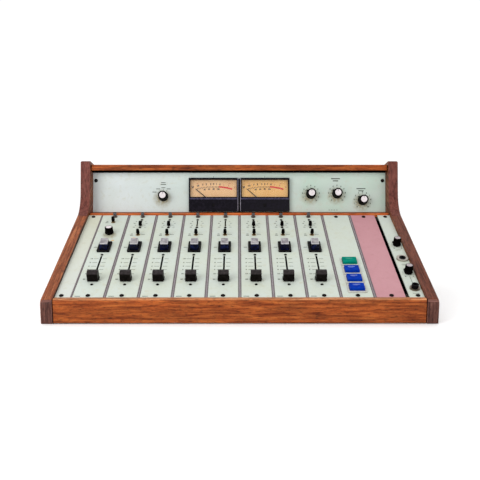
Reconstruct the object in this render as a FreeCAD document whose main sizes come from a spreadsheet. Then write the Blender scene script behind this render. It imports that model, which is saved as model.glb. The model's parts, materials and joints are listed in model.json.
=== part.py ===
"""Desktop audio mixing console: eight channel strips in a walnut case with two level meters.

The row frame has +X to the console's right, +Y from its front edge to its back and +Z up.
The origin is under the middle of the case, on the surface that the console stands on.

Two slanted frames carry the controls. In each, x runs across, y runs up the slope and z points
out of the surface. "panel" lies on the faceplates' top surface, from their front edge, and
"meter" lies on the meter panel's front surface, from the top of the wooden ledge.
"""
import FreeCAD, Part
import os
import re
import Sketcher

DIMENSIONS = {
    # wooden case
    "case_width": 521.0, "case_depth": 354.0, "side_thick": 15.9, "side_ease": 2.5,
    "nose_z": 30.4, "nose_round": 9.0, "side_slope": 23.75, "meter_lean": 10.5,
    "crown_y": 260.5, "crown_z": 216.1, "bend_round": 50.0, "crown_round": 3.0,
    "rail_gap": 1.2, "rail_thick": 11.5, "rail_top": 32.9, "rail_round": 4.0, "rail_base": 0.8,
    "board_y": 263.5, "board_z": 200.4, "board_depth": 88.0, "board_thick": 9.9,
    "board_round": 1.2,
    "ledge_y": 240.2, "ledge_z": 120.0, "ledge_depth": 37.8, "ledge_thick": 11.6,
    "ledge_round": 0.8,
    # slanted frames
    "panel_y": 11.8, "panel_z": 31.8, "panel_tilt": 23.1, "panel_length": 246.0,
    "meter_y": 268.4, "meter_z": 132.0, "meter_tilt": 79.5,
    # module grid and plates
    "module_pitch": 44.7, "plate_width": 40.4, "plate_thick": 2.0, "seat_gap": 0.1,
    "left_plate_x": -234.2, "left_plate_wide": 20.3, "right_plate_x": 234.45,
    "right_plate_wide": 19.7, "end_screw_x": 236.2, "end_control_x": 235.6,
    "bar_width": 3.8, "bar_height": 2.6, "bar_rise": 0.5, "groove_width": 1.3,
    "groove_depth": 0.9, "slim_bar_x": -222.7, "slim_bar_width": 2.1,
    "blank_wide": 38.4, "blank_shift": -1.0,
    # steel chassis
    "steel": 1.5, "tray_z": 3.0, "tray_gap": 0.2, "front_wall_y": 13.2, "back_wall_y": 346.0,
    "back_wall_top": 183.9, "cheek_top": 193.1, "lip_x": 243.6, "lip_low": 1.0, "lip_wide": 12.0,
    "lip_rear": 232.5, "hem_drop": 12.0,
    # strip screws and studs
    "foot_screw": 6.0, "head_screw": 240.0, "strip_head": 3.0, "strip_shank": 1.5,
    "trim_head": 2.1, "trim_shank": 1.1, "hole_play": 0.15, "stud_head": 2.8,
    "stud_height": 7.5, "stud_washer": 3.5, "meter_screw_x": 239.6, "meter_screw_y": 52.9,
    # channel fader
    "fader_rest": 46.5, "fader_travel": 60.0, "fader_play": 0.6, "fader_over": 3.4,
    "fader_stem": 3.0, "fader_stem_wide": 1.5, "fader_slot_wide": 2.6,
    "fader_low_screw": 33.6, "fader_high_screw": 115.4, "fader_cap_wide": 14.8,
    "fader_skirt_wide": 16.2, "fader_skirt_long": 8.0,
    "fader_body_low": 30.0, "fader_body_long": 89.0, "fader_body_wide": 16.0,
    # upper slide switch
    "slide_rest": 208.2, "slide_travel": 16.0, "slide_stem": 2.4, "slide_stem_wide": 1.1,
    "slide_slot_wide": 2.2, "slide_low_screw": 202.3, "slide_high_screw": 229.0,
    "slide_cap_radius": 2.75, "slide_cap_top": 8.6, "slide_bare_top": 2.2,
    # miniature toggle switch
    "toggle_y": 178.4, "toggle_one_y": 221.3, "toggle_pivot": 3.0, "toggle_pin": 0.6,
    "bush_radius": 2.6, "bush_bore": 2.0, "bush_top": 0.7,
    # lever key of each channel
    "key_y": 138.2, "key_pivot": 5.0, "key_wide": 12.2, "key_crown_wide": 10.8, "key_pin": 1.5,
    "pin_play": 0.05,
    "key_bezel_wide": 19.0, "key_bezel_long": 30.0, "key_bezel_top": 2.5,
    "key_neck_wide": 16.6, "key_neck_long": 27.6, "key_well_wide": 13.2, "key_well_long": 24.0,
    "key_bezel_round": 1.6,
    # push buttons
    "button_x": 1.0, "button_first": 23.3, "button_pitch": 23.5, "button_wide": 20.2,
    "button_long": 14.8, "button_top": 5.3, "button_round": 0.9, "frame_wide": 25.4,
    "frame_long": 21.6, "frame_top": 1.2, "frame_neck_wide": 22.6, "frame_neck_long": 18.0,
    # rotary controls
    "shaft_radius": 3.0, "shaft_play": 0.05, "pot_bush": 4.6, "pot_bush_top": 1.0,
    "pot_radius": 7.0, "pot_depth": 12.0, "knob_one_y": 182.4,
    "strip_knob_high": 144.0, "strip_knob_low": 63.4,
    # phone jacks
    "jack_high": 103.5, "jack_low": 23.2, "jack_bore": 3.2, "jack_barrel": 4.7,
    "jack_ring_high": 8.5, "jack_ring_low": 6.8, "jack_top_high": 3.0, "jack_top_low": 7.0,
    # level meters
    "vu_left_x": -43.0, "vu_right_x": 42.4, "vu_wide": 82.2, "vu_low": 0.6, "vu_high": 56.4,
    "vu_front": 7.0, "vu_back": 28.0, "vu_barrel_wide": 75.0, "vu_barrel_low": 4.0,
    "vu_barrel_high": 53.0, "vu_hollow_wide": 79.0, "vu_hollow_low": 3.4, "vu_hollow_high": 54.6,
    "vu_window_wide": 76.7, "vu_window_low": 24.6, "vu_window_high": 53.0,
    "vu_pivot_y": 13.4, "vu_post": 1.0, "needle_length": 39.5, "needle_rest": 50.0,
    # meter panel
    "meter_panel_wide": 488.6, "meter_panel_top": 66.1,
    "selector_x": -127.0, "selector_y": 26.4, "level_one_x": 119.7, "level_one_y": 30.4,
    "level_two_x": 163.4, "level_two_y": 30.9, "level_three_x": 206.1, "level_three_y": 19.8,
    # boards and rear sockets
    "board_sheet": 1.6, "card_offset": 17.0, "socket_z": 60.0, "socket_spacing": 100.0,
}

CHANNELS = 8
PUSH_BUTTONS = ("blue_button_1", "blue_button_2", "blue_button_3", "green_button")
BARE_SLIDES = (4, 5)

doc = FreeCAD.newDocument("MixingConsole")
sheet = doc.addObject("Spreadsheet::Sheet", "dims")
for row, (alias, number) in enumerate(DIMENSIONS.items(), start=1):
    sheet.set(f"A{row}", alias)
    sheet.set(f"B{row}", str(number))
    sheet.setAlias(f"B{row}", alias)
doc.recompute()

nodes = {}


# ---------------------------------------------------------------- helpers
def named(text):
    """The expression with each dimension's name read from the sheet."""
    return re.sub(r"[a-z_]+", lambda word: f"dims.{word[0]}" if word[0] in DIMENSIONS else word[0], str(text))


def value(text):
    """The number that an expression gives now."""
    return float(sheet.evalExpression(named(text)))


def bind(item, **sizes):
    """Tie properties of an object to expressions; Base_x stands for Placement.Base.x."""
    for prop, text in sizes.items():
        path = "Placement." + prop.replace("_", ".") if prop.startswith("Base_") else prop
        item.setExpression(path, named(text))
    return item


def block(x, y, z, wide, long, high):
    """A box centred on x, reaching up from y and z."""
    item = doc.addObject("Part::Box", "Block")
    bind(item, Length=wide, Width=long, Height=high)
    return bind(item, Base_x=f"({x}) - ({wide}) / 2", Base_y=y, Base_z=z)


def rod(x, y, z, radius, high):
    """A cylinder along z, reaching up from z."""
    item = doc.addObject("Part::Cylinder", "Rod")
    return bind(item, Radius=radius, Height=high, Base_x=x, Base_y=y, Base_z=z)


def cross_rod(x, y, z, radius, wide):
    """A cylinder along x, centred on x."""
    item = doc.addObject("Part::Cylinder", "CrossRod")
    item.Placement.Rotation = FreeCAD.Rotation(FreeCAD.Vector(0, 1, 0), 90)
    return bind(item, Radius=radius, Height=wide, Base_x=f"({x}) - ({wide}) / 2", Base_y=y, Base_z=z)


def join(*items):
    """One solid made of overlapping pieces."""
    item = doc.addObject("Part::MultiFuse", "Joined")
    item.Shapes = list(items)
    return item


def carve(base, *tools):
    """The base with every tool taken away."""
    item = doc.addObject("Part::Cut", "Carved")
    item.Base = base
    if len(tools) == 1:
        item.Tool = tools[0]
    else:
        item.Tool = doc.addObject("Part::Compound", "Tools")
        item.Tool.Links = list(tools)
    return item


def seat(item, surface, x=0, y=0, z=0):
    """Place a piece, made in its own x, y, z, at a point of a slanted frame."""
    start = f"{surface}_y - case_depth / 2"
    tilt = f"{surface}_tilt"
    item.Placement.Rotation = FreeCAD.Rotation(FreeCAD.Vector(1, 0, 0), value(tilt))
    item.setExpression("Placement.Rotation.Angle", named(tilt))
    return bind(item, Base_x=x, Base_y=f"{start} + ({y}) * cos({tilt}) - ({z}) * sin({tilt})",
                Base_z=f"{surface}_z + ({y}) * sin({tilt}) + ({z}) * cos({tilt})")


def stand(item, x=0, y=0, z=0):
    """Place a piece measured from the case's bottom front edge."""
    return bind(item, Base_x=x, Base_y=f"({y}) - case_depth / 2", Base_z=z)


def keep(label, item):
    """Record a finished piece as a node."""
    item.Label = label
    nodes[label] = item
    return item


def gather(label, items):
    """A node that holds several separate solids."""
    item = doc.addObject("Part::Compound", "Group")
    item.Links = items
    return keep(label, item)


def outline(body, role, points):
    """A closed sketch through points given as pairs of expressions."""
    sketch = body.newObject("Sketcher::SketchObject", "Outline")
    plane = [item for item in body.Origin.OriginFeatures if item.Role == role][0]
    sketch.AttachmentSupport = (plane, [""])
    sketch.MapMode = "FlatFace"
    corners = [FreeCAD.Vector(value(x), value(y), 0) for x, y in points]
    for start, end in zip(corners, corners[1:] + corners[:1]):
        sketch.addGeometry(Part.LineSegment(start, end))
    for index, pair in enumerate(points):
        following = (index + 1) % len(points)
        sketch.addConstraint(Sketcher.Constraint("Coincident", index, 2, following, 1))
        for kind, text in zip(("DistanceX", "DistanceY"), pair):
            place = sketch.addConstraint(Sketcher.Constraint(kind, -1, 1, index, 1, value(text)))
            sketch.setExpression(f"Constraints[{place}]", named(text))
    return sketch


def extruded(points, length, role="YZ_Plane"):
    """A body padded equally to both sides of its sketch."""
    body = doc.addObject("PartDesign::Body", "Body")
    pad = body.newObject("PartDesign::Pad", "Pad")
    pad.Profile = outline(body, role, points)
    pad.Midplane = True
    bind(pad, Length=length)
    return body


def turned(points):
    """A body of revolution about z, from points given as radius and height."""
    body = doc.addObject("PartDesign::Body", "Body")
    turn = body.newObject("PartDesign::Revolution", "Turn")
    sketch = outline(body, "XZ_Plane", points)
    turn.Profile = sketch
    turn.ReferenceAxis = (sketch, ["V_Axis"])
    turn.Angle = 360
    return body


def soften(body, radius, chosen):
    """Round the body's edges for which chosen(edge) holds."""
    doc.recompute()
    base = body.Tip
    names = [f"Edge{index}" for index, edge in enumerate(base.Shape.Edges, start=1) if chosen(edge)]
    fillet = body.newObject("PartDesign::Fillet", "Round")
    fillet.Base = (base, names)
    bind(fillet, Radius=radius)
    return body


def runs_along(edge, axis):
    """Whether a straight edge is parallel to an axis, 0 to 2."""
    span = edge.Vertexes[-1].Point - edge.Vertexes[0].Point
    return span.Length > 0 and abs(span[axis]) > 0.999 * span.Length


# ---------------------------------------------------------------- wooden case
def side_panel(label, sign):
    """A walnut cheek: sloping over the controls, then leaning back beside the meters."""
    bend_z = ("(nose_z + tan(side_slope) * (crown_y - crown_z * tan(meter_lean)))"
              " / (1 - tan(side_slope) * tan(meter_lean))")
    bend_y = f"crown_y - (crown_z - {bend_z}) * tan(meter_lean)"
    back_z = "crown_z - (case_depth - crown_y) * tan(meter_lean)"
    body = extruded([("0", "0"), ("case_depth", "0"), ("case_depth", back_z), ("crown_y", "crown_z"),
                     (bend_y, bend_z), ("0", "nose_z")], "side_thick")

    def corner_at(y, z):
        return lambda edge: (runs_along(edge, 0) and abs(edge.CenterOfMass.y - value(y)) < 0.5
                             and abs(edge.CenterOfMass.z - value(z)) < 0.5)

    soften(body, "bend_round", corner_at(bend_y, bend_z))
    soften(body, "nose_round", corner_at("0", "nose_z"))
    soften(body, "crown_round", corner_at("crown_y", "crown_z"))
    soften(body, "crown_round", corner_at("case_depth", back_z))
    outer = sign * value("side_thick") / 2

    def on_outer_face(edge):
        flat = edge.BoundBox.XLength < 0.01 and abs(edge.CenterOfMass.x - outer) < 0.01
        return flat and edge.BoundBox.ZMax > 1

    soften(body, "side_ease", on_outer_face)
    return keep(label, stand(body, f"{sign} * (case_width - side_thick) / 2"))


def wooden_case():
    side_panel("left_side_panel", -1)
    side_panel("right_side_panel", 1)
    length = "case_width - 2 * side_thick - 2 * rail_gap"
    rail = extruded([("0", "rail_base"), ("rail_thick", "rail_base"), ("rail_thick", "rail_top"),
                     ("0", "rail_top")], length)
    soften(rail, "rail_round", lambda edge: runs_along(edge, 0) and edge.CenterOfMass.y < 1
           and edge.CenterOfMass.z > value("rail_top") - 1)
    soften(rail, 1.0, lambda edge: runs_along(edge, 0) and edge.CenterOfMass.z < 2)
    keep("front_rail", stand(rail))
    board = extruded([("0", "0"), ("board_depth", "0"), ("board_depth", "board_thick"),
                      ("0", "board_thick")], length)
    soften(board, "board_round", lambda edge: runs_along(edge, 0))
    board.Placement.Rotation = FreeCAD.Rotation(FreeCAD.Vector(1, 0, 0), -value("meter_lean"))
    board.setExpression("Placement.Rotation.Angle", named("-meter_lean"))
    keep("top_board", stand(board, 0, "board_y", "board_z"))
    ledge = extruded([("0", "0"), ("ledge_depth", "0"), ("ledge_depth", "ledge_thick"),
                      ("0", "ledge_thick")], length)
    soften(ledge, "ledge_round", lambda edge: runs_along(edge, 0) and edge.CenterOfMass.y < 1)
    keep("ledge_rail", stand(ledge, 0, "ledge_y", "ledge_z"))


# ---------------------------------------------------------------- steel chassis
def from_front(y):
    """A distance back from the case's front edge, as a row coordinate."""
    return f"({y}) - case_depth / 2"


def chassis_tray():
    """Folded steel: floor, walls, cheeks, and the lips that carry the faceplates."""
    wide = "case_width - 2 * side_thick - 2 * tray_gap"
    floor = block(0, from_front("front_wall_y"), "tray_z", wide,
                  "back_wall_y - front_wall_y + steel", "steel")
    front = block(0, from_front("front_wall_y"), "tray_z", wide, "steel", "panel_z - tray_z - 2.2")
    back = block(0, from_front("back_wall_y"), "tray_z", wide, "steel", "back_wall_top - tray_z")
    openings = [block(x, from_front("back_wall_y - 2"), "socket_z - 7.2", 62.4, 6, 14.4)
                for x in socket_places()]
    pillars = [rod(x, from_front(y), "tray_z + steel - 0.2", 3, 2.7)
               for x in (-200, 0, 200) for y in (50, 185, 320)]
    cheeks = []
    for sign in (-1, 1):
        cheek = extruded([("14.8", "tray_z"), ("back_wall_y + 0.5", "tray_z"),
                          ("back_wall_y + 0.5", "back_wall_top"), ("283.5", "cheek_top"),
                          ("283.5", "119"), ("233.9", "119"), ("233.9", "123.7"),
                          ("14.8", "30.7")], "steel")
        cheeks.append(stand(cheek, f"{sign} * ({wide} - steel) / 2"))
        tab = block(f"{sign} * (lip_x - 4.5)", "meter_screw_y - 5", "-plate_thick - 6", 9, 10,
                    "6 - seat_gap")
        hole = rod(f"{sign} * meter_screw_x", "meter_screw_y", -20, "strip_shank + hole_play", 20)
        cheeks.append(seat(carve(tab, hole), "meter"))
    lip_z = "-plate_thick - seat_gap - steel"
    front_lip = block(0, "lip_low", lip_z, "2 * lip_x", "lip_wide", "steel")
    rear_lip = join(block(0, "lip_rear", lip_z, "2 * lip_x", "lip_wide", "steel"),
                    block(0, "lip_rear + lip_wide - steel", f"{lip_z} - hem_drop", "2 * lip_x",
                          "steel", "hem_drop + steel"))
    lips = [seat(carve(lip, *[rod(x, y, -10, "strip_shank + hole_play", 10)
                              for x, _ in strip_screws()]), "panel")
            for lip, y in ((front_lip, "foot_screw"), (rear_lip, "head_screw"))]
    keep("chassis_tray", join(floor, front, carve(back, *openings), *pillars, *cheeks, *lips))


def socket_places():
    return [f"{step} * socket_spacing" for step in (-1.5, -0.5, 0.5, 1.5)]


# ---------------------------------------------------------------- module grid
def channel_x(number):
    """The centre of channel 1 to 8; 9 is the button strip and 10 the blank strip."""
    return f"{number - 5.5} * module_pitch"


def strip_screws():
    """Each strip's centre, and whether its upper fastener is a tall stud."""
    ends = [("-end_screw_x", False), ("end_screw_x", False)]
    return ends + [(channel_x(number), number <= CHANNELS) for number in range(1, 11)]


def hole(y, radius, x=0):
    return rod(x, y, "-plate_thick - 1", radius, "plate_thick + 2")


def slot(y, wide, long, x=0):
    return block(x, y, "-plate_thick - 1", wide, long, "plate_thick + 2")


def plate(wide, *cuts, screw_x=0):
    """A faceplate with its two fixing holes and its own cut-outs."""
    sheet_metal = block(0, 0, "-plate_thick", wide, "panel_length", "plate_thick")
    fixings = [hole(y, "strip_shank + hole_play", screw_x) for y in ("foot_screw", "head_screw")]
    return carve(sheet_metal, *fixings, *cuts)


def channel_plate(number):
    trim = "trim_shank + hole_play"
    cuts = [hole("fader_low_screw", trim), hole("fader_high_screw", trim),
            slot("fader_rest - fader_stem / 2 - fader_play", "fader_slot_wide",
                 "fader_travel + fader_stem + 2 * fader_play + fader_over"),
            slot("key_y - key_neck_long / 2 - 0.2", "key_neck_wide + 0.4", "key_neck_long + 0.4"),
            hole("toggle_one_y" if number == 1 else "toggle_y", "bush_radius + hole_play")]
    if number == 1:
        cuts.append(hole("knob_one_y", "pot_bush + hole_play"))
    else:
        cuts += [hole("slide_low_screw", trim), hole("slide_high_screw", trim),
                 slot("slide_rest - slide_stem / 2 - fader_play", "slide_slot_wide",
                      "slide_travel + slide_stem + 2 * fader_play")]
    return seat(plate("plate_width", *cuts), "panel", channel_x(number))


def faceplates():
    left = seat(plate("left_plate_wide", screw_x="-end_screw_x - left_plate_x"), "panel", "left_plate_x")
    cuts = [slot(f"{button_y(index)} - frame_neck_long / 2 - 0.2", "frame_neck_wide + 0.4",
                 "frame_neck_long + 0.4", "button_x") for index in range(len(PUSH_BUTTONS))]
    buttons = seat(plate("plate_width", *cuts), "panel", channel_x(9))
    across = "end_control_x - right_plate_x"
    cuts = [hole(y, "pot_bush + hole_play", across) for y in ("strip_knob_high", "strip_knob_low")]
    cuts += [hole(y, "jack_barrel + hole_play", across) for y in ("jack_high", "jack_low")]
    right = seat(plate("right_plate_wide", *cuts, screw_x="end_screw_x - right_plate_x"), "panel",
                 "right_plate_x")
    channels = [channel_plate(number) for number in range(1, CHANNELS + 1)]
    gather("module_faceplates", [left, *channels, buttons, right])
    blank = plate("blank_wide", screw_x="-blank_shift")
    keep("blank_faceplate", seat(blank, "panel", f"{channel_x(10)} + blank_shift"))


def divider_bars():
    """Grooved aluminium bars between neighbouring strips, and a slim one at the left end."""
    half, low = "bar_width / 2", "bar_rise - bar_height"
    bars = []
    for number in range(1, 10):
        bar = extruded([(f"-{half}", low), (half, low), (half, "bar_rise"),
                        ("groove_width / 2", "bar_rise"), ("groove_width / 2", "bar_rise - groove_depth"),
                        ("-groove_width / 2", "bar_rise - groove_depth"),
                        ("-groove_width / 2", "bar_rise"), (f"-{half}", "bar_rise")],
                       "panel_length - 2", "XZ_Plane")
        bars.append(seat(bar, "panel", f"{number - 5} * module_pitch", "panel_length / 2"))
    half = "slim_bar_width / 2"
    slim = extruded([(f"-{half}", low), (half, low), (half, "bar_rise"), (f"-{half}", "bar_rise")],
                    "panel_length - 2", "XZ_Plane")
    bars.append(seat(slim, "panel", "slim_bar_x", "panel_length / 2"))
    gather("divider_bars", bars)


# ---------------------------------------------------------------- fasteners
def screw(surface, x, y, head, shank, length):
    """A slotted pan-head screw whose head rests on the plate."""
    tall = f"0.5 * {head}"
    body = turned([("0", f"-{length}"), (shank, f"-{length}"), (shank, "0"), (head, "0"),
                   (head, f"0.4 * {tall}"), (f"0.72 * {head}", tall), ("0", tall)])
    groove = block(0, f"-{head} - 1", f"0.55 * {tall}", f"0.3 * {head}", f"2 * {head} + 2", 3)
    return seat(carve(body, groove), surface, x, y)


def stud(x):
    """A tall plated thumbscrew at the head of a channel strip."""
    body = turned([("0", "-5"), ("strip_shank", "-5"), ("strip_shank", "0"), ("stud_washer", "0"),
                   ("stud_washer", "0.6"), ("1.9", "0.6"), ("1.9", "1.6"), ("stud_head", "2"),
                   ("stud_head", "stud_height - 0.6"), ("stud_head - 0.6", "stud_height"),
                   ("0", "stud_height")])
    return seat(body, "panel", x, "head_screw")


def panel_fasteners():
    pieces = []
    for x, has_stud in strip_screws():
        pieces.append(screw("panel", x, "foot_screw", "strip_head", "strip_shank", 5))
        pieces.append(stud(x) if has_stud
                      else screw("panel", x, "head_screw", "strip_head", "strip_shank", 5))
    for number in range(1, CHANNELS + 1):
        places = ["fader_low_screw", "fader_high_screw"]
        places += [] if number == 1 else ["slide_low_screw", "slide_high_screw"]
        pieces += [screw("panel", channel_x(number), y, "trim_head", "trim_shank", 5) for y in places]
    pieces += [screw("meter", f"{sign} * meter_screw_x", "meter_screw_y", "strip_head",
                     "strip_shank", 6) for sign in (-1, 1)]
    gather("panel_fasteners", pieces)


# ---------------------------------------------------------------- switch, fader and pot bodies
def body_block(y, deep, wide, long, x=0):
    """A component body hanging just below a plate."""
    return block(x, y, f"-{deep}", wide, long, f"{deep} - plate_thick - seat_gap")


def fader_body(number):
    trim = "trim_shank + hole_play"
    track = block(0, "fader_rest - fader_stem / 2 - 2 * fader_play", -10, "fader_slot_wide + 0.4",
                  "fader_travel + fader_stem + 4 * fader_play + fader_over", 12)
    body = carve(body_block("fader_body_low", 12, "fader_body_wide", "fader_body_long"), track,
                 rod(0, "fader_low_screw", -6, trim, 6), rod(0, "fader_high_screw", -6, trim, 6))
    return seat(body, "panel", channel_x(number))


def slide_body(number):
    trim = "trim_shank + hole_play"
    track = block(0, "slide_rest - slide_stem / 2 - 2 * fader_play", -9, "slide_slot_wide + 0.2",
                  "slide_travel + slide_stem + 4 * fader_play", 12)
    body = carve(body_block("slide_low_screw - 3", 11, 10, "slide_high_screw - slide_low_screw + 5.5"),
                 track, rod(0, "slide_low_screw", -6, trim, 6), rod(0, "slide_high_screw", -6, trim, 6))
    return seat(body, "panel", channel_x(number))


def toggle_body(number):
    y = "toggle_one_y" if number == 1 else "toggle_y"
    body = carve(join(body_block(-5.5, 12, 7, 11), rod(0, 0, -6, "bush_radius", "6 + bush_top")),
                 rod(0, 0, "-toggle_pivot - 2.4", "bush_bore", "toggle_pivot + 2.4 + bush_top + 1"))
    pin = cross_rod(0, 0, "-toggle_pivot", "toggle_pin", "2 * bush_bore + 1")
    return seat(join(body, pin), "panel", channel_x(number), y)


def key_frame(number):
    """The lever key's bezel and well, with the pivot pin across the well."""
    half_wide, half_long = "key_bezel_wide / 2", "key_bezel_long / 2"
    bezel = extruded([(f"-{half_wide}", f"-{half_long}"), (half_wide, f"-{half_long}"),
                      (half_wide, half_long), (f"-{half_wide}", half_long)],
                     "key_bezel_top - 0.05", "XY_Plane")
    soften(bezel, "key_bezel_round", lambda edge: runs_along(edge, 2))
    bind(bezel, Base_z="key_bezel_top / 2 + 0.025")
    neck = block(0, "-key_neck_long / 2", -14, "key_neck_wide", "key_neck_long", 15)
    well = block(0, "-key_well_long / 2", -12, "key_well_wide", "key_well_long", 20)
    pin = cross_rod(0, 0, "-key_pivot", "key_pin", "key_well_wide + 2")
    return seat(join(carve(join(bezel, neck), well), pin), "panel", channel_x(number), "key_y")


def button_y(index):
    return f"(button_first + {index} * button_pitch)"


def button_frame(index):
    frame = block(0, "-frame_long / 2", 0.05, "frame_wide", "frame_long", "frame_top - 0.05")
    neck = block(0, "-frame_neck_long / 2", -12, "frame_neck_wide", "frame_neck_long", 12.5)
    well = block(0, "-button_long / 2 - 0.3", -10, "button_wide + 0.6", "button_long + 0.6", 20)
    return seat(carve(join(frame, neck), well), "panel", f"{channel_x(9)} + button_x", button_y(index))


def pot_body(surface, x, y):
    body = join(rod(0, 0, "-pot_depth", "pot_radius", "pot_depth - plate_thick - seat_gap"),
                rod(0, 0, "-pot_depth + 2", "pot_bush", "pot_depth - 2 + pot_bush_top"))
    bore = rod(0, 0, -9, "shaft_radius + shaft_play", 12)
    return seat(carve(body, bore), surface, x, y)


def rotary_places():
    """Name, frame, x, y, knob radius and knob height of each rotary control."""
    return [("selector_knob", "meter", "selector_x", "selector_y", 8.4, 15.8),
            ("level_knob_1", "meter", "level_one_x", "level_one_y", 8.4, 15.8),
            ("level_knob_2", "meter", "level_two_x", "level_two_y", 8.4, 15.8),
            ("level_knob_3", "meter", "level_three_x", "level_three_y", 8.4, 15.8),
            ("channel_1_knob", "panel", channel_x(1), "knob_one_y", 6.7, 11.8),
            ("headphone_knob", "panel", "end_control_x", "strip_knob_high", 6.1, 13.4),
            ("talkback_knob", "panel", "end_control_x", "strip_knob_low", 6.1, 13.4)]


def control_bodies():
    pieces = []
    for number in range(1, CHANNELS + 1):
        pieces += [fader_body(number), toggle_body(number), key_frame(number)]
        if number > 1:
            pieces.append(slide_body(number))
    pieces += [button_frame(index) for index in range(len(PUSH_BUTTONS))]
    pieces += [pot_body(surface, x, y) for _, surface, x, y, _, _ in rotary_places()]
    gather("control_bodies", pieces)


# ---------------------------------------------------------------- moving controls
def fader_knob(number):
    """A square cap with a ridged top, side wings at its foot and the stem that runs in the slot."""
    cap = extruded([("-6.2", "0.9"), ("6.2", "0.9"), ("6", "12.2"), ("5.2", "13.3"),
                    ("0.8", "14.4"), ("-0.4", "14.4"), ("-5.4", "12.6"), ("-6", "11.8")],
                   "fader_cap_wide")
    soften(cap, 0.4, lambda edge: edge.CenterOfMass.z > 4)
    skirt = block(0, "-fader_skirt_long / 2 + 1", 0.6, "fader_skirt_wide", "fader_skirt_long", 2)
    stem = block(0, "-fader_stem / 2", -8, "fader_stem_wide", "fader_stem", 9)
    keep(f"fader_knob_{number}", seat(join(cap, skirt, stem), "panel", channel_x(number), "fader_rest"))


def slide_lever(number):
    """A flat lever, with a tapered cap except where the cap has been lost."""
    blade = block(0, "-slide_stem / 2", -7, "slide_stem_wide", "slide_stem", "7 + slide_bare_top")
    if number in BARE_SLIDES:
        end = block(0, "-slide_stem / 3", 1, "0.6 * slide_stem_wide", "2 * slide_stem / 3",
                    "slide_bare_top")
    else:
        end = turned([("0", "1.6"), ("slide_cap_radius", "1.6"), ("slide_cap_radius", "3.6"),
                      ("2.2", "slide_cap_top - 0.7"), ("1.6", "slide_cap_top"),
                      ("0", "slide_cap_top")])
    keep(f"slide_lever_{number}", seat(join(blade, end), "panel", channel_x(number), "slide_rest"))


def toggle_lever(number):
    """A lever with a bat-shaped cap, bored at its round foot for the pivot pin."""
    lever = turned([("0", "-1.6"), ("1.1", "-1.3"), ("1.6", "-0.5"), ("1.6", "0.5"),
                    ("0.95", "1.3"), ("0.95", "5.2"), ("2.2", "5.5"), ("2.75", "6.7"),
                    ("2.7", "8.4"), ("2.2", "12.2"), ("1.6", "13.1"), ("0", "13.3")])
    bored = carve(lever, cross_rod(0, 0, 0, "toggle_pin + pin_play", 5))
    y = "toggle_one_y" if number == 1 else "toggle_y"
    keep(f"toggle_lever_{number}", seat(bored, "panel", channel_x(number), y, "-toggle_pivot"))


def cue_key(number):
    """A wedge-topped lever key that narrows upward, bored for its pivot pin."""
    side_view = extruded([("-8", "-2.5"), ("8", "-2.5"), ("8.2", "7"), ("6.9", "16.8"),
                          ("-6.4", "15"), ("-8.2", "7")], "key_wide")
    soften(side_view, 0.6, lambda edge: edge.CenterOfMass.z > 10)
    front_view = extruded([("-key_wide / 2", "-4"), ("key_wide / 2", "-4"), ("key_wide / 2", "6"),
                           ("key_crown_wide / 2", "18"), ("-key_crown_wide / 2", "18"),
                           ("-key_wide / 2", "6")], 30, "XZ_Plane")
    body = doc.addObject("Part::MultiCommon", "Shared")
    body.Shapes = [side_view, front_view]
    bored = carve(body, cross_rod(0, 0, 0, "key_pin + pin_play", 30))
    keep(f"cue_key_{number}", seat(bored, "panel", channel_x(number), "key_y", "-key_pivot"))


def push_button(label, index):
    half = "button_long / 2"
    body = extruded([(f"-{half}", "-6"), (half, "-6"), (half, "button_top"),
                     (f"-{half}", "button_top")], "button_wide")
    soften(body, "button_round", lambda edge: edge.CenterOfMass.z > value("button_top") - 0.1)
    keep(label, seat(body, "panel", f"{channel_x(9)} + button_x", button_y(index)))


def rotary_knob(label, surface, x, y, radius, height):
    """A nearly straight-sided knob on its shaft."""
    knob = turned([("0", "-8"), ("shaft_radius", "-8"), ("shaft_radius", "1.4"), (radius, "1.4"),
                   (radius, "2.8"), (0.95 * radius, "3.6"), (0.9 * radius, height - 0.6),
                   (0.9 * radius - 0.5, height), ("0", height)])
    keep(label, seat(knob, surface, x, y))


# ---------------------------------------------------------------- meters
def vu_case():
    """A square-fronted meter: bezel, hollow behind the window, barrel and needle post."""
    bezel = block(0, "vu_low", 0.1, "vu_wide", "vu_high - vu_low", "vu_front - 0.1")
    barrel = block(0, "vu_barrel_low", "-vu_back", "vu_barrel_wide", "vu_barrel_high - vu_barrel_low",
                   "vu_back + 1")
    hollow = block(0, "vu_hollow_low", 0.8, "vu_hollow_wide", "vu_hollow_high - vu_hollow_low", 4.8)
    window = block(0, "vu_window_low", 5, "vu_window_wide", "vu_window_high - vu_window_low", 4)
    post = rod(0, "vu_pivot_y", 0.5, "vu_post", 4.2)
    return join(carve(join(bezel, barrel), hollow, window), post)


def vu_needle(label, x):
    """A needle on a bored hub, resting towards the left of its dial."""
    hub = rod(0, 0, 0, 3, 1.6)
    pointer = block(0, 0, 0.5, 0.9, "needle_length", 0.5)
    tail = block(0, -6.5, 0.4, 2, 6.5, 0.8)
    needle = carve(join(hub, pointer, tail), rod(0, 0, -1, "vu_post + shaft_play", 4))
    needle.Placement.Rotation = FreeCAD.Rotation(FreeCAD.Vector(0, 0, 1), value("needle_rest"))
    needle.setExpression("Placement.Rotation.Angle", named("needle_rest"))
    seat(gather(label, [needle]), "meter", x, "vu_pivot_y", 2.2)


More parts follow.
